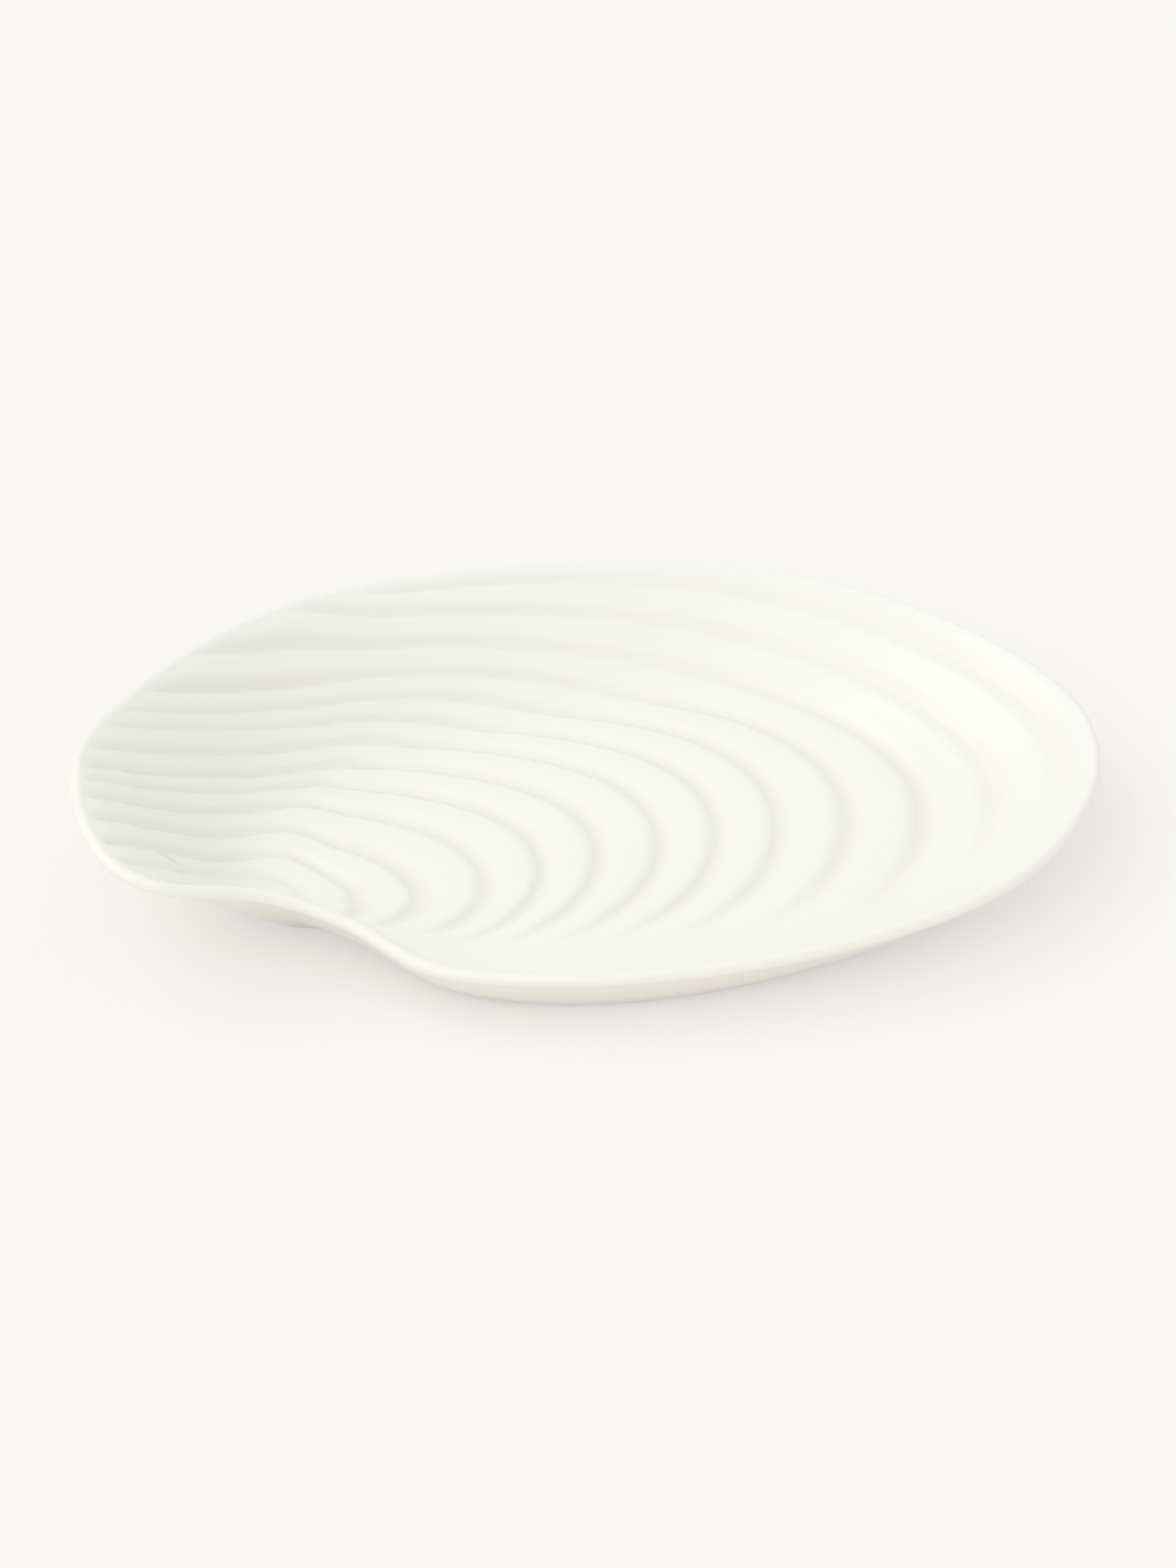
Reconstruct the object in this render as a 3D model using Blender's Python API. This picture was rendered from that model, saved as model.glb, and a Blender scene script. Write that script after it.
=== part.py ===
"""Shell shaped serving platter, one piece of glazed ceramic, in metres, +Z up.

The platter rests on its flat base at z = 0.  +X runs along its length from
the high wing to the round end, +Y runs from the low near rim to the far rim.
"""
import bpy
import math
import numpy as np

# Driving sizes
LENGTH = 0.315
DEPTH = 0.218
HEIGHT = 0.048
WALL = 0.0042
FLOOR = 0.006

# Rim seen from above and its height, point by point, clockwise from the
# middle of the wing.  Only the proportions count: the closed curve through
# the points is brought to LENGTH, DEPTH and HEIGHT.
RIM_POINTS = [
    (-153, -47, 47.0), (-153, -24, 48.0), (-145, -2, 48.0), (-123, 35.5, 47.2),
    (-92, 68, 45.2), (-55, 89, 42.2), (-16, 102, 39.3), (29, 107, 36.8),
    (73, 102.5, 33.8), (110, 86, 30.7), (139, 61, 28.0), (155, 33, 27.0),
    (158, 0, 26.0), (149, -30, 25.0), (128, -62, 24.0), (95, -85, 22.5),
    (55, -100, 20.7), (5, -109, 20.0), (-30, -108, 20.0), (-50, -102, 21.0),
    (-65, -91, 24.0), (-80, -84.5, 27.8), (-95, -83, 32.0), (-110, -86.5, 36.0),
    (-123, -91, 40.0), (-134.5, -88.5, 43.2), (-145.5, -74, 45.5),
]

# Middle of the hollow, as shares of LENGTH and DEPTH from the overall middle
HOLLOW_CENTRE = (-0.031, -0.046)

# Where the wall leaves the floor, as a share of the way to the rim, by
# direction in degrees from +X
WALL_START = [
    (0, 0.72), (45, 0.66), (90, 0.58), (135, 0.58), (180, 0.66),
    (208, 0.60), (220, 0.64), (235, 0.76), (252, 0.82), (275, 0.84), (315, 0.80),
]

# Turn of the wall's foot against its rim, in degrees by direction of the rim:
# it lets the wall lean evenly round the wing's tip and the notch
WALL_BEND = [
    (0, 0), (90, 0), (160, 0), (190, 0), (203, -2), (212, -5), (218, -4.5),
    (225, -3), (235, 0), (246, 1.5), (260, 0), (315, 0),
]
BEND_POWER = 1.7
BEND_REACH = 4

# Share of the wall that keeps a plain curve; the rest straightens to the rim
WALL_CURVE = 0.55
# Share of the wall over which the floor thins to the wall
THINNING = 0.4
# The bowl's inner part has a rounder outline than its rim
INNER_BLUR = 14

# Growth rings are circles in the unit disc, from the umbo at stage 0 to the
# rim at stage 1.  The grooves lie at these stages.
UMBO = (-0.864, -0.419)
UMBO_BOW = (-0.095, 0.197)
GROOVE_STAGES = (
    0.160, 0.222, 0.274, 0.353, 0.429, 0.510, 0.593,
    0.659, 0.718, 0.783, 0.849, 0.911, 0.966,
)
UMBO_NUMBER = -2.5
RIM_NUMBER = 12.5

# Over the wing the rings are drawn outwards, so that they run to its rim
WING_MIDDLE = 225
WING_SPREAD = 60
WING_PULL = 0.107
WING_FOOT = 0.669
WING_PEAK = 0.81

# Section of one ripple, in shares of the step from groove to groove
RIPPLE_DEPTH = 0.0015
FULL_SPACING = 0.013
GROOVE_PLACE = 0.13
GROOVE_FALL = 0.22
GROOVE_CLIMB = 0.38
CREST_LIFT = 0.35
UNDERSIDE_RIPPLE = 0.7
UNDERSIDE_RUN = 0.5

# Where the ripples run out: near the umbo, at any rim, at both ends of each
# ring (in degrees round its own centre) and up the wall beside the notch
FIRST_RING = -0.6
YOUNG_RINGS = 1.6
RIM_FADE = 0.03
NEAR_END = -80
NEAR_END_CLIMB = 75
NEAR_EASE = 32
WING_END = 218
WING_END_DROP = 58
WING_EASE = 12
NOTCH_FROM = 208
NOTCH_TO = 300
NOTCH_ENTRY = 14
NOTCH_EXIT = 60
NOTCH_START = 0.60
NOTCH_END = 0.78

# Mesh
RIM_SAMPLES = 1440
COLUMNS = 82
ROW_PHASES = (0.0, 0.22, 0.42, 0.64)
UMBO_ROWS = (0.02, 0.05, 0.09)
LAST_ROW = 0.985
UNDERSIDE_ROWS = 11
LIP_STEPS = 4
DENSE_DIRECTION = 198
DENSE_SPREAD = 30
DENSE_GAIN = 2.4
DIRECTION_STEP = 0.25
SHARE_STEP = 0.002
TURN_STEP = 0.2
HALVINGS = 26


def clear_scene():
    """Removes every object the start-up file brings."""
    for item in list(bpy.data.objects):
        bpy.data.objects.remove(item, do_unlink=True)


def closed_spline(knots, values, period):
    """Gives a function for the smooth closed curve through the values."""
    knots = np.asarray(knots, float)
    values = np.asarray(values, float)
    count = len(knots)
    step = np.append(np.diff(knots), knots[0] + period - knots[-1])
    before = np.roll(step, 1)
    rise = (np.roll(values, -1, axis=0) - values) / step.reshape(-1, *[1] * (values.ndim - 1))
    system = np.zeros((count, count))
    for i in range(count):
        system[i, (i - 1) % count] += before[i]
        system[i, i] += 2 * (before[i] + step[i])
        system[i, (i + 1) % count] += step[i]
    bend = np.linalg.solve(system, 6 * (rise - np.roll(rise, 1, axis=0)))

    def curve(at):
        at = knots[0] + np.mod(np.asarray(at, float) - knots[0], period)
        i = np.clip(np.searchsorted(knots, at, side="right") - 1, 0, count - 1)
        j = (i + 1) % count
        wide = step[i]
        share = (at - knots[i]) / wide
        if values.ndim > 1:
            wide = wide[..., None]
            share = share[..., None]
        back = 1 - share
        return (
            back * values[i] + share * values[j]
            + ((back ** 3 - back) * bend[i] + (share ** 3 - share) * bend[j]) * wide ** 2 / 6
        )

    return curve


def smooth_step(value):
    """Eases from 0 to 1 as the value goes from 0 to 1."""
    value = np.clip(value, 0, 1)
    return value * value * (3 - 2 * value)


def lobe(degrees, middle, spread):
    """Bell curve round a direction, 1 in its middle."""
    off = (degrees - middle + 180) % 360 - 180
    return np.exp(-0.5 * (off / spread) ** 2)


def halve(inside, low, high):
    """Finds where a test turns from true to false, place by place."""
    for _ in range(HALVINGS):
        middle = (low + high) / 2
        within = inside(middle)
        low = np.where(within, middle, low)
        high = np.where(within, high, middle)
    return (low + high) / 2


def rim_line():
    """Dense closed rim, brought to the overall sizes."""
    points = np.array(RIM_POINTS)[::-1]
    gaps = np.linalg.norm(np.roll(points, -1, axis=0) - points, axis=1)
    knots = np.append(0, np.cumsum(gaps)[:-1])
    total = gaps.sum()
    line = closed_spline(knots, points, total)(np.linspace(0, total, RIM_SAMPLES, endpoint=False))
    low = line.min(axis=0)
    high = line.max(axis=0)
    wanted = np.array([LENGTH, DEPTH])
    line[:, :2] = (line[:, :2] - (low + high)[:2] / 2) * wanted / (high - low)[:2]
    line[:, 2] = line[:, 2] * HEIGHT / high[2]
    return line


class Shell:
    """The smooth middle surface of the wall, without ripples."""

    def __init__(self):
        line = rim_line()
        self.centre = np.array(HOLLOW_CENTRE) * (LENGTH, DEPTH)
        away = line[:, :2] - self.centre
        turn = np.degrees(np.arctan2(away[:, 1], away[:, 0])) % 360
        order = np.argsort(turn)
        self.turn = turn[order]
        self.reach = np.hypot(away[:, 0], away[:, 1])[order] - WALL / 2
        self.top = line[order, 2] - WALL / 2
        self.even = np.arange(360.0)
        reach = self.by_direction(self.even, self.reach)
        kernel = np.exp(-0.5 * (np.minimum(self.even, 360 - self.even) / INNER_BLUR) ** 2)
        spread = np.fft.fft(kernel / kernel.sum())
        self.calm = np.real(np.fft.ifft(np.fft.fft(reach) * spread))
        self.start = closed_spline(*zip(*WALL_START), 360)
        self.bend = closed_spline(*zip(*WALL_BEND), 360)

    def by_direction(self, degrees, table):
        """Reads a rim table at any direction."""
        return np.interp(degrees, self.turn, table, period=360)

    def middle(self, share, degrees):
        """Points of the mid surface at a share of the way out to the rim."""
        reach = self.by_direction(degrees, self.reach)
        calm = np.interp(degrees, self.even, self.calm, period=360)
        radius = share * (calm + (reach - calm) * share ** 2)
        wall = self.wall_share(share, degrees)
        curve = wall ** 2 * (WALL_CURVE + (1 - WALL_CURVE) * (3 - 2 * wall))
        rise = self.by_direction(degrees, self.top) - FLOOR / 2
        along = share ** BEND_POWER
        angle = np.radians(degrees + BEND_REACH * along * (1 - along) * self.bend(degrees))
        return np.stack([
            self.centre[0] + radius * np.cos(angle),
            self.centre[1] + radius * np.sin(angle),
            FLOOR / 2 + rise * curve,
        ], axis=-1)

    def wall_share(self, share, degrees):
        """0 on the floor, 1 at the rim."""
        start = self.start(degrees)
        return np.clip((share - start) / (1 - start), 0, 1)

    def normal(self, share, degrees):
        """Unit normals of the mid surface, pointing into the hollow."""
        share = np.clip(share, SHARE_STEP, 1)
        inner = self.middle(share - SHARE_STEP, degrees)
        outer = self.middle(share, degrees)
        left = self.middle(share, degrees + TURN_STEP)
        right = self.middle(share, degrees - TURN_STEP)
        cross = np.cross(outer - inner, left - right)
        return cross / np.linalg.norm(cross, axis=-1, keepdims=True)

    def outward(self, degrees):
        """Unit vectors that carry the wall's slope on past the rim."""
        rim = np.ones_like(degrees)
        along = self.middle(rim, degrees + TURN_STEP) - self.middle(rim, degrees - TURN_STEP)
        cross = np.cross(along, self.normal(rim, degrees))
        return cross / np.linalg.norm(cross, axis=-1, keepdims=True)

    def thickness(self, share, degrees):
        """Floor thickness, easing to the wall thickness up the wall."""
        ease = smooth_step(self.wall_share(share, degrees) / THINNING)
        return FLOOR + (WALL - FLOOR) * ease


def wing_warp(share, degrees):
    """Share of the way out, drawn outwards over the wing."""
    rise = smooth_step((share - WING_FOOT) / (WING_PEAK - WING_FOOT))
    drop = smooth_step((share - WING_PEAK) / (1 - WING_PEAK))
    return share + WING_PULL * lobe(degrees, WING_MIDDLE, WING_SPREAD) * rise * (1 - drop)


def ring_centre(stage):
    """Middle of a growth ring in the unit disc."""
    east = (1 - stage) * (UMBO[0] + UMBO_BOW[0] * stage)
    north = (1 - stage) * (UMBO[1] + UMBO_BOW[1] * stage)
    return east, north


def growth_point(stage, degrees):
    """Share and direction of a growth ring's point; stage 1 is the rim."""
    east, north = ring_centre(stage)
    east = east + stage * np.cos(np.radians(degrees))
    north = north + stage * np.sin(np.radians(degrees))
    warped = np.minimum(np.hypot(east, north), 1)
    turn = np.degrees(np.arctan2(north, east)) % 360
    share = halve(
        lambda value: wing_warp(value, turn) < warped,
        np.zeros_like(warped), np.ones_like(warped),
    )
    return share, turn


def growth_stage(share, degrees):
    """Stage of the growth ring that passes through a place."""
    warped = wing_warp(share, degrees)
    east = warped * np.cos(np.radians(degrees))
    north = warped * np.sin(np.radians(degrees))

    def beyond(stage):
        ring_east, ring_north = ring_centre(stage)
        return np.hypot(east - ring_east, north - ring_north) > stage

    return halve(beyond, np.zeros_like(east), np.ones_like(east))


def ring_number(stage):
    """Counts the rings: a whole number where a groove begins to fall."""
    stages = (0,) + GROOVE_STAGES + (1,)
    numbers = (UMBO_NUMBER, *range(len(GROOVE_STAGES)), RIM_NUMBER)
    return np.interp(stage, stages, numbers) + GROOVE_PLACE


def ring_stage(number):
    """Growth stage of a ring number."""
    stages = (0,) + GROOVE_STAGES + (1,)
    numbers = (UMBO_NUMBER, *range(len(GROOVE_STAGES)), RIM_NUMBER)
    return np.interp(number - GROOVE_PLACE, numbers, stages)


def ring_spacing(shell, share, degrees):
    """Distance from one groove to the next across the surface, in metres."""
    share = np.clip(share, SHARE_STEP, 1)
    here = shell.middle(share, degrees)
    across = shell.middle(share - SHARE_STEP, degrees) - here
    along = shell.middle(share, degrees + TURN_STEP) - here
    number = ring_number(growth_stage(share, degrees))
    step_across = ring_number(growth_stage(share - SHARE_STEP, degrees)) - number
    step_along = ring_number(growth_stage(share, degrees + TURN_STEP)) - number
    size_across = (across ** 2).sum(axis=-1)
    size_along = (along ** 2).sum(axis=-1)
    shared = (across * along).sum(axis=-1)
    slope = (
        step_across ** 2 * size_along + step_along ** 2 * size_across
        - 2 * step_across * step_along * shared
    ) / (size_across * size_along - shared ** 2)
    return 1 / np.sqrt(np.maximum(slope, 1))


def ring_ends(stage, share, degrees):
    """1 along the run of a ring that is carved, 0 past its two ends."""
    warped = wing_warp(share, degrees)
    ring_east, ring_north = ring_centre(stage)
    east = warped * np.cos(np.radians(degrees)) - ring_east
    north = warped * np.sin(np.radians(degrees)) - ring_north
    first = NEAR_END + NEAR_END_CLIMB * stage ** 3
    last = WING_END - WING_END_DROP * stage
    turn = first + (np.degrees(np.arctan2(north, east)) - first) % 360
    near = smooth_step((turn - first) / NEAR_EASE)
    wing = smooth_step((last - turn) / WING_EASE)
    return near * wing


def notch_band(share, degrees):
    """1 up the wall beside the notch, which is left smooth."""
    entry = smooth_step((degrees - NOTCH_FROM) / NOTCH_ENTRY)
    leave = smooth_step((NOTCH_TO - degrees) / NOTCH_EXIT)
    return entry * leave * smooth_step((share - NOTCH_START) / (NOTCH_END - NOTCH_START))


def ripple(shell, share, degrees):
    """Height of the carved ripples against the smooth shell."""
    stage = growth_stage(share, degrees)
    number = ring_number(stage)
    phase = number % 1
    fall = smooth_step(phase / GROOVE_FALL)
    climb = smooth_step((phase - GROOVE_FALL) / GROOVE_CLIMB)
    groove = np.where(phase < GROOVE_FALL, fall, 1 - climb)
    depth = RIPPLE_DEPTH * np.minimum(ring_spacing(shell, share, degrees) / FULL_SPACING, 1)
    young = smooth_step((number - FIRST_RING) / YOUNG_RINGS)
    rim = smooth_step((1 - share) / RIM_FADE)
    run = ring_ends(stage, share, degrees) * (1 - notch_band(share, degrees))
    return depth * (CREST_LIFT - groove) * young * rim * run


def column_directions():
    """Directions of the mesh columns, closer together round wing and notch."""
    fine = np.arange(0, 360, DIRECTION_STEP)
    density = 1 + DENSE_GAIN * lobe(fine, DENSE_DIRECTION, DENSE_SPREAD)
    total = np.append(0, np.cumsum(density))
    return np.interp(np.arange(COLUMNS) * total[-1] / COLUMNS, total, np.append(fine, 360))


def face_up(shell, share, degrees):
    """Points of the rippled inside."""
    half = shell.thickness(share, degrees) / 2 + ripple(shell, share, degrees)
    return shell.middle(share, degrees) + shell.normal(share, degrees) * half[..., None]


def face_down(shell, share, degrees):
    """Points of the outside, which follows the inside up the wall."""
    clear = smooth_step(shell.wall_share(share, degrees) / UNDERSIDE_RUN)
    shift = UNDERSIDE_RIPPLE * clear * ripple(shell, share, degrees)
    half = shell.thickness(share, degrees) / 2 - shift
    return shell.middle(share, degrees) - shell.normal(share, degrees) * half[..., None]


def row_stages():
    """Stages of the mesh rows: some round the umbo, four to a ripple, the rim."""
    numbers = [ring + phase for ring in range(len(GROOVE_STAGES)) for phase in ROW_PHASES]
    stages = [float(ring_stage(number)) for number in numbers]
    return list(UMBO_ROWS) + [stage for stage in stages if stage < LAST_ROW] + [1.0]


def build_rings(shell):
    """Closed loops of points from the umbo over the rim to the base edge."""
    columns = column_directions()
    loops = []
    for stage in row_stages():
        share, degrees = growth_point(stage, columns)
        loops.append(face_up(shell, share, degrees))
    rim = np.ones(COLUMNS)
    middle = shell.middle(rim, columns)
    inward = shell.normal(rim, columns)
    outward = shell.outward(columns)
    for step in range(1, LIP_STEPS):
        turn = math.pi * step / LIP_STEPS
        arm = inward * math.cos(turn) + outward * math.sin(turn)
        loops.append(middle + arm * WALL / 2)
    start = shell.start(columns)
    for step in range(UNDERSIDE_ROWS + 1):
        share = 1 - (1 - start) * step / UNDERSIDE_ROWS
        loops.append(face_down(shell, share, columns))
    return loops


def make_platter():
    """Joins the loops to one closed body and adds it to the scene."""
    shell = Shell()
    loops = build_rings(shell)
    share, degrees = growth_point(np.zeros(1), np.zeros(1))
    points = [tuple(face_up(shell, share, degrees)[0])]
    for loop in loops:
        points.extend(tuple(point) for point in loop)
    faces = [(0, 1 + j, 1 + (j + 1) % COLUMNS) for j in range(COLUMNS)]
    for i in range(len(loops) - 1):
        inner = 1 + i * COLUMNS
        outer = inner + COLUMNS
        for j in range(COLUMNS):
            k = (j + 1) % COLUMNS
            faces.append((inner + j, outer + j, outer + k, inner + k))
    last = 1 + (len(loops) - 1) * COLUMNS
    faces.append(tuple(last + j for j in reversed(range(COLUMNS))))
    mesh = bpy.data.meshes.new("platter")
    mesh.from_pydata(points, [], faces)
    mesh.update()
    body = bpy.data.objects.new("platter", mesh)
    bpy.context.scene.collection.objects.link(body)
    body.data.materials.append(glaze())
    return body


def glaze():
    """White glaze over fired clay."""
    material = bpy.data.materials.new("white_glaze")
    material.use_nodes = True
    shader = material.node_tree.nodes["Principled BSDF"]
    shader.inputs["Base Color"].default_value = (0.88, 0.88, 0.84, 1)
    shader.inputs["Roughness"].default_value = 0.15
    return material


clear_scene()
make_platter()
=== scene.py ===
# %% [markdown]
# # A shell shaped platter in white glaze
#
# The real object is one pressed piece of porcelain: a shallow shell with a
# high wing at one end, a low rim towards the viewer and carved growth
# ripples over the whole hollow.  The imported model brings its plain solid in
# as a frame.  This script dresses it: a finer skin of the same shape, a
# glaze, a pale floor and soft light.

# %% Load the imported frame
import bpy
import math
import numpy as np
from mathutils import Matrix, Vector


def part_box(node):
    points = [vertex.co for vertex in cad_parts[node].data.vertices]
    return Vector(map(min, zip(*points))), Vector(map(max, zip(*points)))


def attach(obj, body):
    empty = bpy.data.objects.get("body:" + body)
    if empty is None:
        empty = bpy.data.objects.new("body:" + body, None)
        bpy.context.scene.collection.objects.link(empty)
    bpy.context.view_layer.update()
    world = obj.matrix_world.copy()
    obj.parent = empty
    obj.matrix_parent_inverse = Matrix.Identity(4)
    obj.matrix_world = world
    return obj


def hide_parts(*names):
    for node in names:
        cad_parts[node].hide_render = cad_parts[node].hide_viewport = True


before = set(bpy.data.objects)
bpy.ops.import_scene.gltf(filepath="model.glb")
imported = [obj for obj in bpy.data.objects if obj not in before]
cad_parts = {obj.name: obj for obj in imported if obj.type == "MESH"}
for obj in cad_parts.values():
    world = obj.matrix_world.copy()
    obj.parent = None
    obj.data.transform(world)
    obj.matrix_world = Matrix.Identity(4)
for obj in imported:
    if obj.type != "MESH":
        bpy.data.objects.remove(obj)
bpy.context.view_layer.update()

# %% [markdown]
# ## The rim
#
# A shell's outline is no circle and no ellipse, so it is drawn as a maker
# would draw a template: a few points, and one smooth closed line through
# them.  A cubic spline keeps the bend continuous, which matters here
# because a glossy rim shows every sudden change of bend as a kink in its
# highlight.  Each point also holds the height of the rim above the table.

# %% The smooth closed line
RIM_POINTS = [
    (-153, -47, 47.0), (-153, -24, 48.0), (-145, -2, 48.0), (-123, 35.5, 47.2),
    (-92, 68, 45.2), (-55, 89, 42.2), (-16, 102, 39.3), (29, 107, 36.8),
    (73, 102.5, 33.8), (110, 86, 30.7), (139, 61, 28.0), (155, 33, 27.0),
    (158, 0, 26.0), (149, -30, 25.0), (128, -62, 24.0), (95, -85, 22.5),
    (55, -100, 20.7), (5, -109, 20.0), (-30, -108, 20.0), (-50, -102, 21.0),
    (-65, -91, 24.0), (-80, -84.5, 27.8), (-95, -83, 32.0), (-110, -86.5, 36.0),
    (-123, -91, 40.0), (-134.5, -88.5, 43.2), (-145.5, -74, 45.5),
]


def closed_line(knots, values, period):
    """Function for the cubic line that closes on itself after one period."""
    knots = np.asarray(knots, float)
    values = np.asarray(values, float)
    count = len(knots)
    step = np.append(np.diff(knots), knots[0] + period - knots[-1])
    before = np.roll(step, 1)
    wide = step.reshape(-1, *[1] * (values.ndim - 1))
    rise = (np.roll(values, -1, axis=0) - values) / wide
    system = np.zeros((count, count))
    for i in range(count):
        system[i, (i - 1) % count] += before[i]
        system[i, i] += 2 * (before[i] + step[i])
        system[i, (i + 1) % count] += step[i]
    bend = np.linalg.solve(system, 6 * (rise - np.roll(rise, 1, axis=0)))

    def line(at):
        at = knots[0] + np.mod(np.asarray(at, float) - knots[0], period)
        i = np.clip(np.searchsorted(knots, at, side="right") - 1, 0, count - 1)
        j = (i + 1) % count
        size = step[i]
        share = (at - knots[i]) / size
        if values.ndim > 1:
            size = size[..., None]
            share = share[..., None]
        back = 1 - share
        pull = (back ** 3 - back) * bend[i] + (share ** 3 - share) * bend[j]
        return back * values[i] + share * values[j] + pull * size ** 2 / 6

    return line


# %% [markdown]
# The drawn points only give the shape.  The frame knows the true length, depth
# and height, so the line is stretched to those.  It stays a hair inside, so
# that no part of the skin can stand out of the solid it replaces.

# %% Bring the rim to the size of the frame
RIM_SAMPLES = 1440
WALL = 0.0042
FLOOR = 0.006
SKIN_CLEARANCE = 0.0002
low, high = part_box("platter")
length, depth, height = (high[i] - low[i] for i in range(3))


def rim_line():
    """Dense rim, from the drawn points, a hair inside the frame's length and depth."""
    points = np.array(RIM_POINTS)[::-1]
    gaps = np.linalg.norm(np.roll(points, -1, axis=0) - points, axis=1)
    total = gaps.sum()
    knots = np.append(0, np.cumsum(gaps)[:-1])
    at = np.linspace(0, total, RIM_SAMPLES, endpoint=False)
    line = closed_line(knots, points, total)(at)
    least = line.min(axis=0)
    most = line.max(axis=0)
    wanted = np.array([length, depth]) - SKIN_CLEARANCE
    line[:, :2] = (line[:, :2] - (least + most)[:2] / 2) * wanted / (most - least)[:2]
    line[:, 2] *= height / most[2]
    return line


rim = rim_line()
rim_length = np.linalg.norm(np.diff(rim, axis=0), axis=1).sum()
print(f"rim runs {rim_length:.3f} m")
print(f"lowest rim {rim[:, 2].min():.4f} m, highest {rim[:, 2].max():.4f} m")

# %% [markdown]
# ## The smooth shell
#
# Every place in the platter gets two numbers: a direction from the middle of
# the hollow, and a share of the way out to the rim.  The floor stays flat up
# to a share that changes with the direction, then the wall rises to the rim.
# With one rule for the whole body the floor, wall, wing and notch flow into
# each other as they do in clay, where separate pieces would leave seams.

# %% Tables that follow the direction
HOLLOW_CENTRE = (-0.031, -0.046)
INNER_BLUR = 14
WALL_START = [
    (0, 0.72), (45, 0.66), (90, 0.58), (135, 0.58), (180, 0.66),
    (208, 0.60), (220, 0.64), (235, 0.76), (252, 0.82), (275, 0.84), (315, 0.80),
]
WALL_BEND = [
    (0, 0), (90, 0), (160, 0), (190, 0), (203, -2), (212, -5), (218, -4.5),
    (225, -3), (235, 0), (246, 1.5), (260, 0), (315, 0),
]
BEND_POWER = 1.7
BEND_REACH = 4
WALL_CURVE = 0.55
THINNING = 0.4

centre = np.array(HOLLOW_CENTRE) * (length, depth)
away = rim[:, :2] - centre
direction = np.degrees(np.arctan2(away[:, 1], away[:, 0])) % 360
order = np.argsort(direction)
rim_direction = direction[order]
rim_reach = np.hypot(away[:, 0], away[:, 1])[order] - WALL / 2
rim_top = rim[order, 2] - WALL / 2
wall_start = closed_line(*zip(*WALL_START), 360)
wall_bend = closed_line(*zip(*WALL_BEND), 360)

whole_degrees = np.arange(360.0)
blur = np.exp(-0.5 * (np.minimum(whole_degrees, 360 - whole_degrees) / INNER_BLUR) ** 2)
even_reach = np.interp(whole_degrees, rim_direction, rim_reach, period=360)
spread = np.fft.fft(blur / blur.sum())
calm_reach = np.real(np.fft.ifft(np.fft.fft(even_reach) * spread))
print(f"reach from the middle: {rim_reach.min():.3f} to {rim_reach.max():.3f} m")

# %% [markdown]
# The wall is described by its middle, and half its thickness is added on each
# side later.  That keeps the wall evenly thick where it bends, which a shell
# made of two separate surfaces would not.

# %% Points and normals of the middle of the wall
SHARE_STEP = 0.002
TURN_STEP = 0.2


def ease(value):
    """0 to 1 with a soft start and a soft end."""
    value = np.clip(value, 0, 1)
    return value * value * (3 - 2 * value)


def wall_share(share, degrees):
    """0 on the floor, 1 at the rim."""
    start = wall_start(degrees)
    return np.clip((share - start) / (1 - start), 0, 1)


def shell_middle(share, degrees):
    """Points half way through the wall."""
    reach = np.interp(degrees, rim_direction, rim_reach, period=360)
    calm = np.interp(degrees, whole_degrees, calm_reach, period=360)
    radius = share * (calm + (reach - calm) * share ** 2)
    wall = wall_share(share, degrees)
    curve = wall ** 2 * (WALL_CURVE + (1 - WALL_CURVE) * (3 - 2 * wall))
    rise = np.interp(degrees, rim_direction, rim_top, period=360) - FLOOR / 2
    along = share ** BEND_POWER
    angle = np.radians(degrees + BEND_REACH * along * (1 - along) * wall_bend(degrees))
    return np.stack([
        centre[0] + radius * np.cos(angle),
        centre[1] + radius * np.sin(angle),
        FLOOR / 2 + rise * curve,
    ], axis=-1)


def shell_normal(share, degrees):
    """Unit normals that point into the hollow."""
    share = np.clip(share, SHARE_STEP, 1)
    out = shell_middle(share, degrees) - shell_middle(share - SHARE_STEP, degrees)
    left = shell_middle(share, degrees + TURN_STEP)
    right = shell_middle(share, degrees - TURN_STEP)
    cross = np.cross(out, left - right)
    return cross / np.linalg.norm(cross, axis=-1, keepdims=True)


def shell_thickness(share, degrees):
    """Floor thickness, thinning to the wall."""
    return FLOOR + (WALL - FLOOR) * ease(wall_share(share, degrees) / THINNING)


# %% [markdown]
# ## The growth ripples
#
# A real shell grows by adding one band after another at its lip, and every
# band is a larger copy of the one before, drawn from one point, the umbo.
# The carved ripples copy that.  Mapped to a plain disc the rings are circles:
# stage 0 is the umbo, stage 1 the rim, and their centres slide to the middle
# while they grow.  The carver's steps are not even, so a short table holds
# the stage of each groove.  Over the wing the rings are drawn outwards and
# run nearly straight into its rim.
#
# Near the middle of the hollow the disc is only the plan view, stretched and
# slanted, because a map by direction alone would put a kink in every ring
# there.  Further out it turns bit by bit into the map that ends at the rim.
# The same law places the mesh rows, so each groove runs along an edge of the
# mesh and stays crisp.

# %% The growth law
UMBO = (-0.886, -0.367)
UMBO_BOW = (-0.086, 0.208)
GROOVE_STAGES = (
    0.160, 0.219, 0.282, 0.368, 0.445, 0.521, 0.601,
    0.670, 0.736, 0.801, 0.862, 0.917, 0.966,
)
UMBO_NUMBER = -2.5
RIM_NUMBER = 12.5
GROOVE_PLACE = 0.13
WING_MIDDLE = 200
WING_SPREAD = 61
WING_PULL = 0.104
WING_FOOT = 0.642
WING_PEAK = 0.817
PLAN_STRETCH = (8.11, 9.31)
PLAN_SLANT = (0.20, -2.51)
HALVINGS = 26
STEPS_BACK = 40
STEP_SIZE = 0.7

table_stages = (0,) + GROOVE_STAGES + (1,)
table_numbers = (UMBO_NUMBER, *range(len(GROOVE_STAGES)), RIM_NUMBER)


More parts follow.
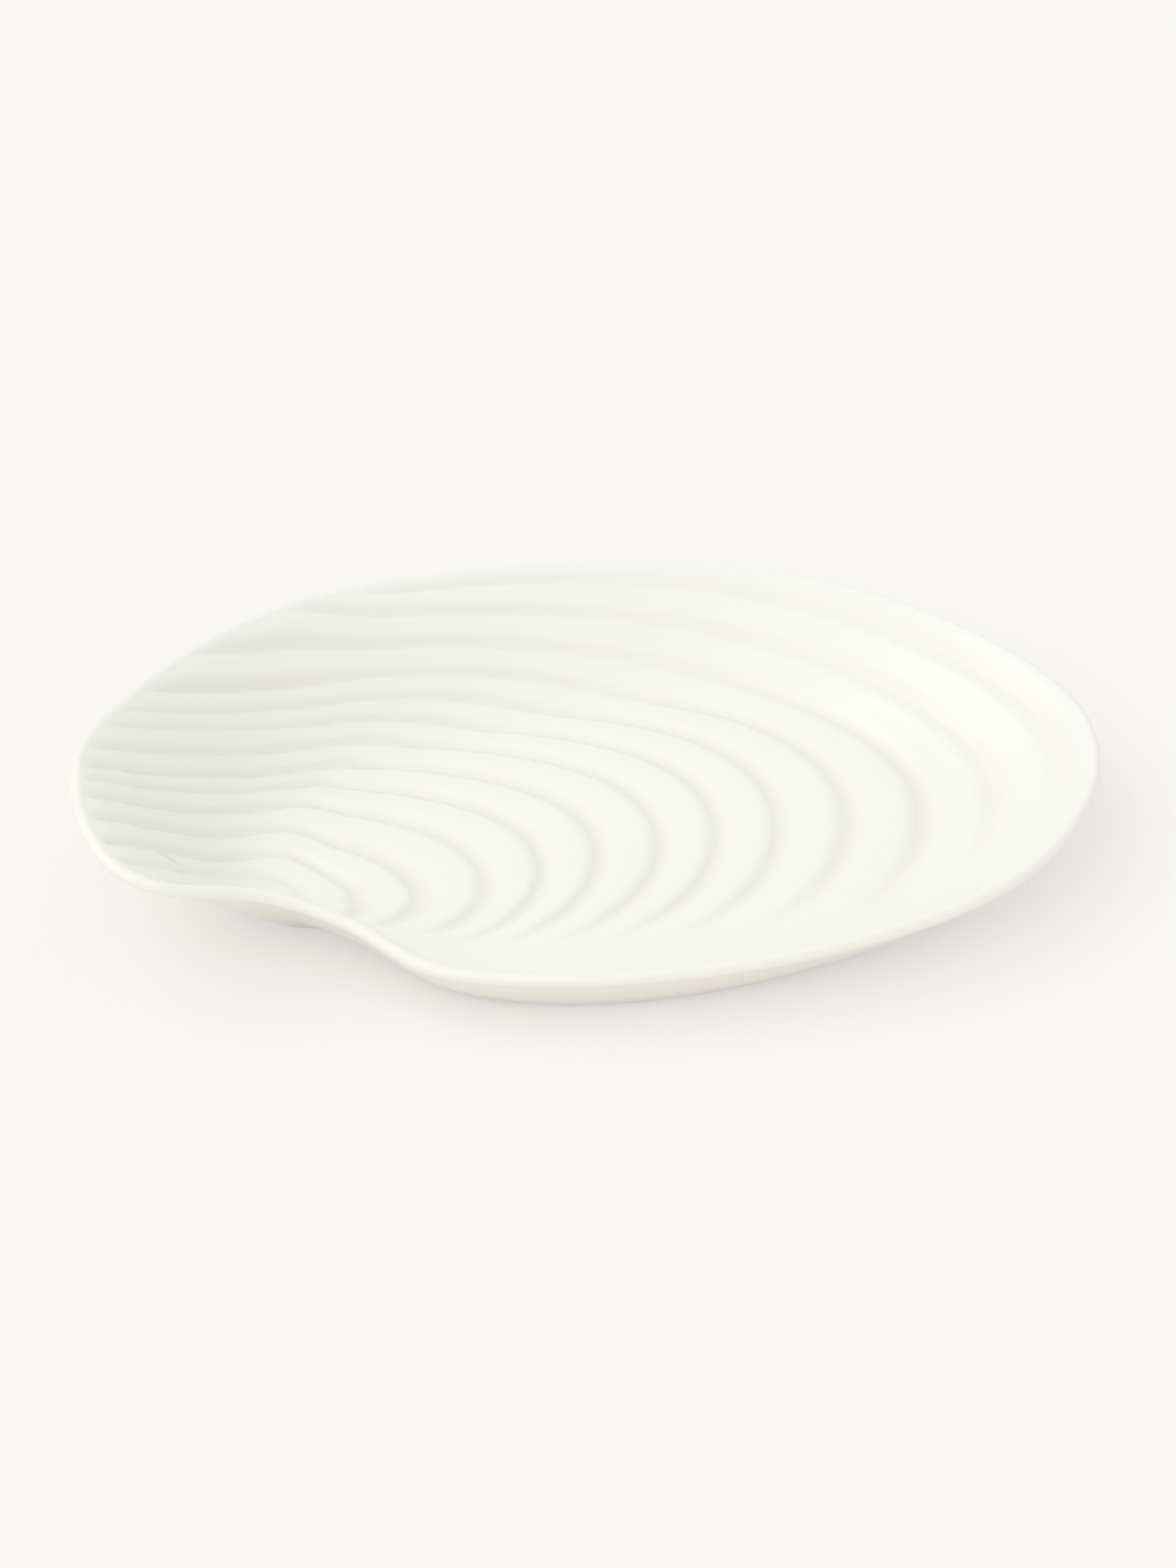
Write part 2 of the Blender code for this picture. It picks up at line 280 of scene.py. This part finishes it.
def lobe(degrees, middle, spread_degrees):
    """Bell curve round a direction, 1 in its middle."""
    off = (degrees - middle + 180) % 360 - 180
    return np.exp(-0.5 * (off / spread_degrees) ** 2)


def halve(inside, start_value, end_value):
    """Finds where a test turns from true to false, place by place."""
    for _ in range(HALVINGS):
        middle = (start_value + end_value) / 2
        within = inside(middle)
        start_value = np.where(within, middle, start_value)
        end_value = np.where(within, end_value, middle)
    return (start_value + end_value) / 2


def wing_warp(share, degrees):
    """Share of the way out, drawn outwards over the wing."""
    climb = ease((share - WING_FOOT) / (WING_PEAK - WING_FOOT))
    drop = ease((share - WING_PEAK) / (1 - WING_PEAK))
    return share + WING_PULL * lobe(degrees, WING_MIDDLE, WING_SPREAD) * climb * (1 - drop)


def ring_centre(stage):
    """Middle of a ring in the disc."""
    east = (1 - stage) * (UMBO[0] + UMBO_BOW[0] * stage)
    north = (1 - stage) * (UMBO[1] + UMBO_BOW[1] * stage)
    return east, north


def disc_place(share, degrees):
    """Where a place of the hollow lies in the disc, east and north."""
    plan = shell_middle(share, degrees)[..., :2] - centre
    plan_east = PLAN_STRETCH[0] * plan[..., 0] + PLAN_SLANT[0] * plan[..., 1]
    plan_north = PLAN_STRETCH[1] * plan[..., 1] + PLAN_SLANT[1] * plan[..., 0]
    warped = wing_warp(share, degrees)
    out = ease(share)
    east = out * warped * np.cos(np.radians(degrees)) + (1 - out) * plan_east
    north = out * warped * np.sin(np.radians(degrees)) + (1 - out) * plan_north
    return east, north


def ring_place(stage, degrees):
    """Share and direction of a point on the ring of this stage."""
    middle_east, middle_north = ring_centre(stage)
    east = middle_east + stage * np.cos(np.radians(degrees))
    north = middle_north + stage * np.sin(np.radians(degrees))
    guess_east = east
    guess_north = north
    for _ in range(STEPS_BACK):
        share = np.minimum(np.hypot(guess_east, guess_north), 1)
        turn = np.degrees(np.arctan2(guess_north, guess_east)) % 360
        here_east, here_north = disc_place(share, turn)
        guess_east = guess_east + STEP_SIZE * (east - here_east)
        guess_north = guess_north + STEP_SIZE * (north - here_north)
    share = np.minimum(np.hypot(guess_east, guess_north), 1)
    return share, np.degrees(np.arctan2(guess_north, guess_east)) % 360


def ring_arm(stage, share, degrees):
    """Arm from a ring's own middle to a place in the disc, east and north."""
    east, north = disc_place(share, degrees)
    ring_east, ring_north = ring_centre(stage)
    return east - ring_east, north - ring_north


def growth_stage(share, degrees):
    """Stage of the ring through a place."""
    east, north = disc_place(share, degrees)

    def beyond(stage):
        ring_east, ring_north = ring_centre(stage)
        return np.hypot(east - ring_east, north - ring_north) > stage

    return halve(beyond, np.zeros_like(east), np.ones_like(east))


def ring_number(stage):
    """Counts the rings: a whole number where a groove begins to fall."""
    return np.interp(stage, table_stages, table_numbers) + GROOVE_PLACE


def ring_stage(number):
    """Growth stage of a ring number."""
    return np.interp(number - GROOVE_PLACE, table_numbers, table_stages)


print(len(GROOVE_STAGES), "grooves, the last at stage", GROOVE_STAGES[-1])

# %% [markdown]
# Up the wing the grooves leave their circles and run straight into the rim.
# There each one lies in a plane that leans back and slants, as if a straight
# tool had been drawn across the wing, so a second table holds the height of
# each plane.  The two counts nearly agree along the border, and are blended
# across it.

# %% Grooves up the wing
PLANE_LEAN = 50
PLANE_SLANT = -0.329
PLANE_HEIGHTS = (
    8.6, 18.2, 29.6, 39.5, 47.6, 53.0, 61.0,
    69.7, 75.5, 82.4, 95.6, 110.0, 125.0,
)
WING_INNER = -0.076
WING_OUTER = -0.110
WING_FOOT_SLANT = 0.14
MM_PER_METRE = 1000

plane_numbers = (-1, *range(len(PLANE_HEIGHTS)))
plane_heights = (2 * PLANE_HEIGHTS[0] - PLANE_HEIGHTS[1],) + PLANE_HEIGHTS


def over_wing(share, degrees):
    """0 in the hollow, 1 up the wing."""
    place = shell_middle(share, degrees)
    side = place[..., 0] - WING_FOOT_SLANT * place[..., 1]
    return ease((WING_INNER - side) / (WING_INNER - WING_OUTER))


def plane_number(share, degrees):
    """Counts the leaning planes as ring_number counts the rings."""
    place = shell_middle(share, degrees)
    lean = math.radians(PLANE_LEAN)
    plane_height = place[..., 1] * math.sin(lean) + place[..., 2] * math.cos(lean)
    height_mm = (plane_height + PLANE_SLANT * place[..., 0]) * MM_PER_METRE
    return np.interp(height_mm, plane_heights, plane_numbers) + GROOVE_PLACE


def groove_number(share, degrees):
    """The count of grooves all over the inside."""
    in_rings = ring_number(growth_stage(share, degrees))
    in_planes = plane_number(share, degrees)
    return in_rings + over_wing(share, degrees) * (in_planes - in_rings)


print("planes lean back", PLANE_LEAN, "degrees")

# %% [markdown]
# A ring is not carved all the way round.  It starts softly on the near side
# and stays off the steep wall beside the notch.  Where grooves crowd together
# they are also cut less deep, as a real tool could not cut them deeper, so
# the depth follows the true distance from one groove to the next, measured
# across the surface.

# %% How far a ring is carved
FULL_SPACING = 0.013
FIRST_RING = -0.6
YOUNG_RINGS = 1.6
RIM_FADE = 0.03
NEAR_END = -80
NEAR_END_CLIMB = 75
NEAR_EASE = 32
WING_END = 222
WING_END_DROP = 58
WING_EASE = 10
NOTCH_FROM = 208
NOTCH_TO = 300
NOTCH_ENTRY = 14
NOTCH_EXIT = 60
NOTCH_START = 0.60
NOTCH_END = 0.78
FAR_MIDDLE = 75
FAR_SPREAD = 32
FAR_START = 0.55
FAR_END = 0.85
FAR_LOSS = 0.5


def ring_spacing(share, degrees):
    """Distance from one groove to the next across the surface, in metres."""
    share = np.clip(share, SHARE_STEP, 1)
    here = shell_middle(share, degrees)
    across = shell_middle(share - SHARE_STEP, degrees) - here
    along = shell_middle(share, degrees + TURN_STEP) - here
    number = groove_number(share, degrees)
    step_across = groove_number(share - SHARE_STEP, degrees) - number
    step_along = groove_number(share, degrees + TURN_STEP) - number
    size_across = (across ** 2).sum(axis=-1)
    size_along = (along ** 2).sum(axis=-1)
    shared = (across * along).sum(axis=-1)
    slope = step_across ** 2 * size_along + step_along ** 2 * size_across
    slope = slope - 2 * step_across * step_along * shared
    slope = slope / (size_across * size_along - shared ** 2)
    return 1 / np.sqrt(np.maximum(slope, 1))


def ring_ends(stage, share, degrees):
    """1 along the carved run of a ring, 0 past its two ends."""
    east, north = ring_arm(stage, share, degrees)
    first = NEAR_END + NEAR_END_CLIMB * stage ** 3
    last = WING_END - WING_END_DROP * stage
    turn = first + (np.degrees(np.arctan2(north, east)) - first) % 360
    return ease((turn - first) / NEAR_EASE) * ease((last - turn) / WING_EASE)


def notch_band(share, degrees):
    """1 up the wall beside the notch, which is left smooth."""
    entry = ease((degrees - NOTCH_FROM) / NOTCH_ENTRY)
    leave = ease((NOTCH_TO - degrees) / NOTCH_EXIT)
    return entry * leave * ease((share - NOTCH_START) / (NOTCH_END - NOTCH_START))


def far_wall(share, degrees):
    """How much shallower the ripples are up the far wall."""
    climb = ease((share - FAR_START) / (FAR_END - FAR_START))
    return 1 - FAR_LOSS * climb * lobe(degrees, FAR_MIDDLE, FAR_SPREAD)


def ripple_strength(number, share, degrees):
    """1 where the ripples are full, 0 where they have run out."""
    crowd = np.minimum(ring_spacing(share, degrees) / FULL_SPACING, 1)
    young = ease((number - FIRST_RING) / YOUNG_RINGS)
    edge = ease((1 - share) / RIM_FADE)
    in_hollow = ring_ends(growth_stage(share, degrees), share, degrees)
    in_hollow = in_hollow * (1 - notch_band(share, degrees)) * far_wall(share, degrees)
    wing = over_wing(share, degrees)
    return crowd * young * edge * (in_hollow + wing * (1 - in_hollow))


# %% [markdown]
# Cut across, a ripple is not a wave.  It falls quickly into a narrow groove,
# climbs out slowly and then stays flat as a broad band, so each band looks
# laid over the one before it.  A sine would look like water, not like a shell.

# %% The ripple's section
RIPPLE_DEPTH = 0.0018
GROOVE_FALL = 0.22
GROOVE_CLIMB = 0.38
CREST_LIFT = 0.35
UNDERSIDE_RIPPLE = 0.7
UNDERSIDE_RUN = 0.5


def groove(number):
    """0 on a crest, 1 at the bottom of a groove: a quick fall, a slow climb."""
    phase = number % 1
    fall = ease(phase / GROOVE_FALL)
    climb = ease((phase - GROOVE_FALL) / GROOVE_CLIMB)
    return np.where(phase < GROOVE_FALL, fall, 1 - climb)


def ripple(share, degrees):
    """Height of the ripples over the smooth shell, in metres, and the groove mask that
    darkens the glaze: pooled glaze and painted shade.
    """
    number = groove_number(share, degrees)
    strength = ripple_strength(number, share, degrees)
    carved = groove(number)
    # The second value darkens the glaze in the grooves: partly glaze lying thicker, partly
    # painted shade.
    return RIPPLE_DEPTH * (CREST_LIFT - carved) * strength, carved * strength


rings = np.linspace(0, 1, 6)
print("groove over one ring:", np.round(groove(rings), 2))

# %% [markdown]
# ## The skin
#
# The skin is a stack of closed loops of points: up the inside from the umbo
# ring by ring, round the lip in a half circle, and down the outside to the
# flat base.  Joining neighbouring loops with quads is the oldest way to make
# such a mesh and the easiest to control.  A subdivided cage would round the
# ripples off by itself, and a displaced grid would not have its edges on the
# grooves.

# %% Loops of the inside, lip and outside
COLUMNS = 300
ROWS_PER_RING = 12
UMBO_GAP = 0.25
LIP_STEPS = 10
OUTSIDE_ROWS = 44
DENSE_DIRECTION = 198
DENSE_SPREAD = 34
DENSE_GAIN = 1.6
FINE_STEP = 0.25
UMBO_STAGE = 1e-4


def column_directions():
    """Directions of the columns, closer together round wing and notch."""
    fine = np.arange(0, 360, FINE_STEP)
    density = 1 + DENSE_GAIN * lobe(fine, DENSE_DIRECTION, DENSE_SPREAD)
    total = np.append(0, np.cumsum(density))
    even = np.arange(COLUMNS) * total[-1] / COLUMNS
    return np.interp(even, total, np.append(fine, 360))


def inside_loop(stage, columns):
    """Rippled loop at one growth stage, and how deep its grooves are."""
    share, degrees = ring_place(stage, columns)
    lift, pool_shade = ripple(share, degrees)
    half = shell_thickness(share, degrees) / 2 + lift
    inward = shell_normal(share, degrees)
    return shell_middle(share, degrees) + inward * half[..., None], pool_shade


def outside_loop(share, columns):
    """Loop of the outside, which echoes the ripples up the wall."""
    clear = ease(wall_share(share, columns) / UNDERSIDE_RUN)
    lift, _ = ripple(share, columns)
    half = shell_thickness(share, columns) / 2 - UNDERSIDE_RIPPLE * clear * lift
    inward = shell_normal(share, columns)
    return shell_middle(share, columns) - inward * half[..., None]


def lip_loops(columns):
    """Half circle of loops that closes the wall at its rim."""
    edge = np.ones(COLUMNS)
    middle = shell_middle(edge, columns)
    inward = shell_normal(edge, columns)
    ahead = shell_middle(edge, columns + TURN_STEP)
    behind = shell_middle(edge, columns - TURN_STEP)
    outward = np.cross(ahead - behind, inward)
    outward /= np.linalg.norm(outward, axis=-1, keepdims=True)
    for step in range(1, LIP_STEPS):
        turn = math.pi * step / LIP_STEPS
        arm = inward * math.cos(turn) + outward * math.sin(turn)
        yield middle + arm * WALL / 2


columns = column_directions()
first_number = UMBO_NUMBER + GROOVE_PLACE + UMBO_GAP
last_number = RIM_NUMBER + GROOVE_PLACE
row_count = round((last_number - first_number) * ROWS_PER_RING)
stages = ring_stage(np.linspace(first_number, last_number, row_count + 1))
inside = [inside_loop(stage, columns) for stage in stages]
loops = [points for points, _ in inside]
pool_shade_rows = [pool_shade for _, pool_shade in inside]
lip = list(lip_loops(columns))
start = wall_start(columns)
outside = [
    outside_loop(1 - (1 - start) * row / OUTSIDE_ROWS, columns)
    for row in range(OUTSIDE_ROWS + 1)
]
loops += lip + outside
pool_shade_rows += [np.zeros(COLUMNS)] * (len(lip) + len(outside))
warmth = [np.zeros(COLUMNS)] * len(inside)
warmth += [np.full(COLUMNS, ease((i + 1) / len(lip))) for i in range(len(lip))]
warmth += [np.ones(COLUMNS)] * len(outside)
print(len(loops), "loops of", COLUMNS, "points")

# %% [markdown]
# Neighbouring loops are joined with quads, the umbo and the base are closed
# with a fan each.  The base is flat, so its faces keep flat shading: smoothed
# together with the wall it would look domed.  Two values travel with the
# points for the glaze: how deep a groove is, and whether a point is outside.

# %% Join the loops to one closed skin
GLAZE = 0
FOOT = 1


def skin_faces():
    """A fan over the umbo, and quads between the loops."""
    faces = [(0, 1 + j, 1 + (j + 1) % COLUMNS) for j in range(COLUMNS)]
    for i in range(len(loops) - 1):
        inner = 1 + i * COLUMNS
        outer = inner + COLUMNS
        for j in range(COLUMNS):
            k = (j + 1) % COLUMNS
            faces.append((inner + j, outer + j, outer + k, inner + k))
    return faces


umbo, _ = inside_loop(UMBO_STAGE, np.zeros(1))
base_middle = np.array([[centre[0], centre[1], 0.0]])
vertices = np.concatenate([umbo, *loops, base_middle])
faces = skin_faces()
last = 1 + (len(loops) - 1) * COLUMNS
base = len(vertices) - 1
base_faces = [(base, last + (j + 1) % COLUMNS, last + j) for j in range(COLUMNS)]

mesh = bpy.data.meshes.new("shell_skin")
mesh.from_pydata(vertices.tolist(), [], faces + base_faces)
mesh.update()
skin = bpy.data.objects.new("shell_skin", mesh)
bpy.context.scene.collection.objects.link(skin)
smooth = [True] * len(faces) + [False] * len(base_faces)
finish = [GLAZE] * len(faces) + [FOOT] * len(base_faces)
mesh.polygons.foreach_set("use_smooth", smooth)
mesh.polygons.foreach_set("material_index", finish)
# The first value paints a darker tone into the grooves, partly pooled glaze and partly
# painted shade; the second marks the outside.
for name, rows in (("pool_and_painted_shade", pool_shade_rows), ("outside", warmth)):
    layer = mesh.attributes.new(name, "FLOAT", "POINT")
    layer.data.foreach_set("value", np.concatenate([[0.0], *rows, [0.0]]))
print("skin has", sum(len(p.vertices) - 2 for p in mesh.polygons), "triangles")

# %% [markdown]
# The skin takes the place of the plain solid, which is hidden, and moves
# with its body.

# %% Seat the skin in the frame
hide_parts("platter")
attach(skin, "root")

# %% [markdown]
# ## Glaze and bare clay
#
# Porcelain glaze is a clear, slightly warm glass over white clay.  It lies
# thicker in the grooves, where it turns a little deeper in tone; that deeper
# tone also stands in for the shade in the grooves, so it is partly painted
# shade.  Its surface has a faint unevenness from the kiln that keeps
# reflections soft.
# The base is ground after firing and stays bare and matt.  Both finishes
# share one effect, a very slow clouding of tone, so it is one node group.

# %% Clouding that both finishes share
CLOUD_DETAIL = 2


def new_cloud_group():
    """Node group: mixes two tones by slow noise and gives the mask."""
    group = bpy.data.node_groups.new("kiln_cloud", "ShaderNodeTree")
    face = group.interface
    face.new_socket("Tone", in_out="INPUT", socket_type="NodeSocketColor")
    face.new_socket("Deep Tone", in_out="INPUT", socket_type="NodeSocketColor")
    face.new_socket("Size", in_out="INPUT", socket_type="NodeSocketFloat")
    face.new_socket("Color", in_out="OUTPUT", socket_type="NodeSocketColor")
    face.new_socket("Mask", in_out="OUTPUT", socket_type="NodeSocketFloat")
    nodes = group.nodes
    links = group.links
    start_node = nodes.new("NodeGroupInput")
    end_node = nodes.new("NodeGroupOutput")
    place = nodes.new("ShaderNodeTexCoord")
    noise = nodes.new("ShaderNodeTexNoise")
    noise.inputs["Detail"].default_value = CLOUD_DETAIL
    mix = nodes.new("ShaderNodeMix")
    mix.data_type = "RGBA"
    links.new(place.outputs["Object"], noise.inputs["Vector"])
    links.new(start_node.outputs["Size"], noise.inputs["Scale"])
    links.new(noise.outputs["Fac"], mix.inputs["Factor"])
    links.new(start_node.outputs["Tone"], mix.inputs["A"])
    links.new(start_node.outputs["Deep Tone"], mix.inputs["B"])
    links.new(mix.outputs["Result"], end_node.inputs["Color"])
    links.new(noise.outputs["Fac"], end_node.inputs["Mask"])
    return group


cloud_group = new_cloud_group()
print("group", cloud_group.name, "made")

# %% [markdown]
# The glaze takes its tone from three sources, one over the other: the
# clouding, the deeper tone in the grooves, which is pooled glaze and painted
# shade together, and the warmer tone of the outside.
# Its fine unevenness is bump only, because it is far smaller than the mesh.

# %% The glaze
GLAZE_TONE = (0.905, 0.908, 0.878, 1)
GLAZE_DEEP = (0.890, 0.893, 0.856, 1)
OUTSIDE_TONE = (0.905, 0.885, 0.820, 1)
# Darker groove tone: partly glaze lying thicker, partly painted shade in the grooves.
POOL_AND_SHADE_TONE = (0.855, 0.862, 0.812, 1)
GLAZE_CLOUD_SIZE = 16
GLAZE_ROUGHNESS = (0.28, 0.38)
GLAZE_IOR = 1.5
SKIN_NOISE_SIZE = 160
SKIN_NOISE_DETAIL = 3
SKIN_BUMP = 0.25
SKIN_BUMP_HEIGHT = 0.0002


def start_material(name):
    """New material with its own shader, and a cloud group placed in it."""
    material = bpy.data.materials.new(name)
    material.use_nodes = True
    tree = material.node_tree
    cloud = tree.nodes.new("ShaderNodeGroup")
    cloud.node_tree = cloud_group
    return material, tree, tree.nodes["Principled BSDF"], cloud


def spread_value(tree, source, low_value, high_value):
    """Node that turns a 0 to 1 mask into a range of values."""
    node = tree.nodes.new("ShaderNodeMapRange")
    node.inputs["To Min"].default_value = low_value
    node.inputs["To Max"].default_value = high_value
    tree.links.new(source, node.inputs["Value"])
    return node.outputs["Result"]


def make_glaze():
    """Warm white glass that deepens in the grooves: pooled glaze and painted shade."""
    material, tree, shader, cloud = start_material("white_glaze")
    links = tree.links
    cloud.inputs["Tone"].default_value = GLAZE_TONE
    cloud.inputs["Deep Tone"].default_value = GLAZE_DEEP
    cloud.inputs["Size"].default_value = GLAZE_CLOUD_SIZE
    # The groove mask paints a darker tone into the grooves: pooled glaze and painted
    # shade.
    pool_shade = tree.nodes.new("ShaderNodeAttribute")
    pool_shade.attribute_name = "pool_and_painted_shade"
    pool_shade_mix = tree.nodes.new("ShaderNodeMix")
    pool_shade_mix.data_type = "RGBA"
    links.new(pool_shade.outputs["Fac"], pool_shade_mix.inputs["Factor"])
    links.new(cloud.outputs["Color"], pool_shade_mix.inputs["A"])
    pool_shade_mix.inputs["B"].default_value = POOL_AND_SHADE_TONE
    outside = tree.nodes.new("ShaderNodeAttribute")
    outside.attribute_name = "outside"
    warm = tree.nodes.new("ShaderNodeMix")
    warm.data_type = "RGBA"
    links.new(outside.outputs["Fac"], warm.inputs["Factor"])
    links.new(pool_shade_mix.outputs["Result"], warm.inputs["A"])
    warm.inputs["B"].default_value = OUTSIDE_TONE
    links.new(warm.outputs["Result"], shader.inputs["Base Color"])
    roughness = spread_value(tree, cloud.outputs["Mask"], *GLAZE_ROUGHNESS)
    links.new(roughness, shader.inputs["Roughness"])
    skin_noise = tree.nodes.new("ShaderNodeTexNoise")
    skin_noise.inputs["Scale"].default_value = SKIN_NOISE_SIZE
    skin_noise.inputs["Detail"].default_value = SKIN_NOISE_DETAIL
    place = tree.nodes.new("ShaderNodeTexCoord")
    links.new(place.outputs["Object"], skin_noise.inputs["Vector"])
    bump = tree.nodes.new("ShaderNodeBump")
    bump.inputs["Strength"].default_value = SKIN_BUMP
    bump.inputs["Distance"].default_value = SKIN_BUMP_HEIGHT
    links.new(skin_noise.outputs["Fac"], bump.inputs["Height"])
    links.new(bump.outputs["Normal"], shader.inputs["Normal"])
    shader.inputs["IOR"].default_value = GLAZE_IOR
    return material


mesh.materials.append(make_glaze())
print("glaze tone", GLAZE_TONE[:3])

# %% [markdown]
# The base never shows from the side.  It gets a plain finish of its own all
# the same, since a platter is also seen turned over.

# %% The bare base
CLAY_TONE = (0.80, 0.785, 0.75, 1)
CLAY_DEEP = (0.74, 0.72, 0.68, 1)
CLAY_CLOUD_SIZE = 60
CLAY_ROUGHNESS = (0.7, 0.9)
GRIT_SIZE = 1800
GRIT_BUMP = 0.5
GRIT_HEIGHT = 0.0001


def make_bare_clay():
    """Ground biscuit, matt and slightly gritty."""
    material, tree, shader, cloud = start_material("bare_clay")
    links = tree.links
    cloud.inputs["Tone"].default_value = CLAY_TONE
    cloud.inputs["Deep Tone"].default_value = CLAY_DEEP
    cloud.inputs["Size"].default_value = CLAY_CLOUD_SIZE
    links.new(cloud.outputs["Color"], shader.inputs["Base Color"])
    roughness = spread_value(tree, cloud.outputs["Mask"], *CLAY_ROUGHNESS)
    links.new(roughness, shader.inputs["Roughness"])
    grit = tree.nodes.new("ShaderNodeTexNoise")
    grit.inputs["Scale"].default_value = GRIT_SIZE
    place = tree.nodes.new("ShaderNodeTexCoord")
    links.new(place.outputs["Object"], grit.inputs["Vector"])
    bump = tree.nodes.new("ShaderNodeBump")
    bump.inputs["Strength"].default_value = GRIT_BUMP
    bump.inputs["Distance"].default_value = GRIT_HEIGHT
    links.new(grit.outputs["Fac"], bump.inputs["Height"])
    links.new(bump.outputs["Normal"], shader.inputs["Normal"])
    return material


mesh.materials.append(make_bare_clay())
print("finishes:", [material.name for material in mesh.materials])

# %% [markdown]
# ## Table, backdrop and light
#
# White on white only reads through soft shade.  Seen by the camera the table
# is part glow, part paper, as on a lit shooting table: that keeps its shadows
# light without more light on the platter.  The table lies a hair below the
# base, because two faces in one plane flicker against each other.

# %% The floor
FLOOR_HALF = 8
FLOOR_GAP = 0.0001
FLOOR_TONE = (0.912, 0.904, 0.897, 1)
BACKDROP_TONE = (0.956, 0.939, 0.922, 1)
FLOOR_GLOW = 0.5

floor_mesh = bpy.data.meshes.new("table_top")
corners = [(-FLOOR_HALF, -FLOOR_HALF, 0), (FLOOR_HALF, -FLOOR_HALF, 0)]
corners += [(FLOOR_HALF, FLOOR_HALF, 0), (-FLOOR_HALF, FLOOR_HALF, 0)]
floor_mesh.from_pydata(corners, [], [(0, 1, 2, 3)])
floor = bpy.data.objects.new("table_top", floor_mesh)
floor.location.z = low[2] - FLOOR_GAP
bpy.context.scene.collection.objects.link(floor)


def seen_directly(tree):
    """1 for rays from the camera and for mirror rays, 0 for all others."""
    path = tree.nodes.new("ShaderNodeLightPath")
    either = tree.nodes.new("ShaderNodeMath")
    either.operation = "MAXIMUM"
    tree.links.new(path.outputs["Is Camera Ray"], either.inputs[0])
    tree.links.new(path.outputs["Is Glossy Ray"], either.inputs[1])
    return either.outputs["Value"]


def make_paper():
    """Matt white paper that glows a little, but only to the eye."""
    material = bpy.data.materials.new("pale_paper")
    material.use_nodes = True
    tree = material.node_tree
    shader = tree.nodes["Principled BSDF"]
    shader.inputs["Base Color"].default_value = FLOOR_TONE
    shader.inputs["Roughness"].default_value = 1
    shader.inputs["Specular IOR Level"].default_value = 0
    glow = tree.nodes.new("ShaderNodeEmission")
    glow.inputs["Color"].default_value = BACKDROP_TONE
    part = tree.nodes.new("ShaderNodeMath")
    part.operation = "MULTIPLY"
    part.inputs[1].default_value = FLOOR_GLOW
    tree.links.new(seen_directly(tree), part.inputs[0])
    mix = tree.nodes.new("ShaderNodeMixShader")
    tree.links.new(part.outputs["Value"], mix.inputs["Fac"])
    tree.links.new(shader.outputs["BSDF"], mix.inputs[1])
    tree.links.new(glow.outputs["Emission"], mix.inputs[2])
    tree.links.new(mix.outputs["Shader"], tree.nodes["Material Output"].inputs["Surface"])
    return material


floor_mesh.materials.append(make_paper())
print("table at", round(floor.location.z, 4), "m")

# %% [markdown]
# Two broad lamps rake over the ripples, one from the left and a little
# behind, one from the front left, and an even white surround fills the rest,
# so the darkest shade stays pale.  Lamps at a great distance keep the table
# equally bright everywhere, which a nearby panel would not.

# %% The light
SURROUND = 0.84
LAMP_TONE = (1, 0.99, 0.975)
KEY_POWER = 0.42
KEY_WIDTH = 40
KEY_RISE = 50
KEY_TURN = 70
SIDE_POWER = 0.44
SIDE_WIDTH = 60
SIDE_RISE = 42
SIDE_TURN = 150

world = bpy.data.worlds.new("white_surround")
bpy.context.scene.world = world
world.use_nodes = True
tree = world.node_tree
tree.nodes.clear()
fill = tree.nodes.new("ShaderNodeBackground")
fill.inputs["Color"].default_value = (*LAMP_TONE, 1)
fill.inputs["Strength"].default_value = SURROUND
seen = tree.nodes.new("ShaderNodeBackground")
seen.inputs["Color"].default_value = BACKDROP_TONE
mix = tree.nodes.new("ShaderNodeMixShader")
end_node = tree.nodes.new("ShaderNodeOutputWorld")
tree.links.new(seen_directly(tree), mix.inputs["Fac"])
tree.links.new(fill.outputs["Background"], mix.inputs[1])
tree.links.new(seen.outputs["Background"], mix.inputs[2])
tree.links.new(mix.outputs["Shader"], end_node.inputs["Surface"])


def add_lamp(name, power, width, rise_degrees, turn_degrees):
    """Broad far lamp: turn 0 is behind the platter, 90 left and 180 in front."""
    data = bpy.data.lights.new(name, "SUN")
    data.energy = power
    data.angle = math.radians(width)
    data.color = LAMP_TONE
    lamp = bpy.data.objects.new(name, data)
    tip = math.radians(90 - rise_degrees)
    turn = math.radians(turn_degrees - 180)
    lamp.rotation_euler = (tip, 0, turn)
    bpy.context.scene.collection.objects.link(lamp)
    aim = lamp.rotation_euler.to_matrix() @ Vector((0, 0, -1))
    print(name, "points", [round(v, 2) for v in aim])


add_lamp("key_lamp", KEY_POWER, KEY_WIDTH, KEY_RISE, KEY_TURN)
add_lamp("side_lamp", SIDE_POWER, SIDE_WIDTH, SIDE_RISE, SIDE_TURN)

# %% [markdown]
# ## The camera
#
# The photograph looks down at the platter from the low side, from far enough
# away that its far rim is hardly smaller than the near one.  A long lens at
# 1.4 m gives that flat, calm view.

# %% The camera
CAMERA_RISE = 32
CAMERA_AWAY = 1.4
LENS = 103.57
SENSOR = 36
AIM = (-0.0020, 0.0016, 0.01735)

camera_data = bpy.data.cameras.new("view")
camera_data.lens = LENS
camera_data.sensor_width = SENSOR
camera = bpy.data.objects.new("view", camera_data)
rise = math.radians(CAMERA_RISE)
camera.location = (
    AIM[0],
    AIM[1] - CAMERA_AWAY * math.cos(rise),
    AIM[2] + CAMERA_AWAY * math.sin(rise),
)
camera.rotation_euler = (math.radians(90 - CAMERA_RISE), 0, 0)
bpy.context.scene.collection.objects.link(camera)
bpy.context.scene.camera = camera
bpy.context.scene.view_settings.view_transform = "Standard"
print("camera at", [round(v, 3) for v in camera.location])
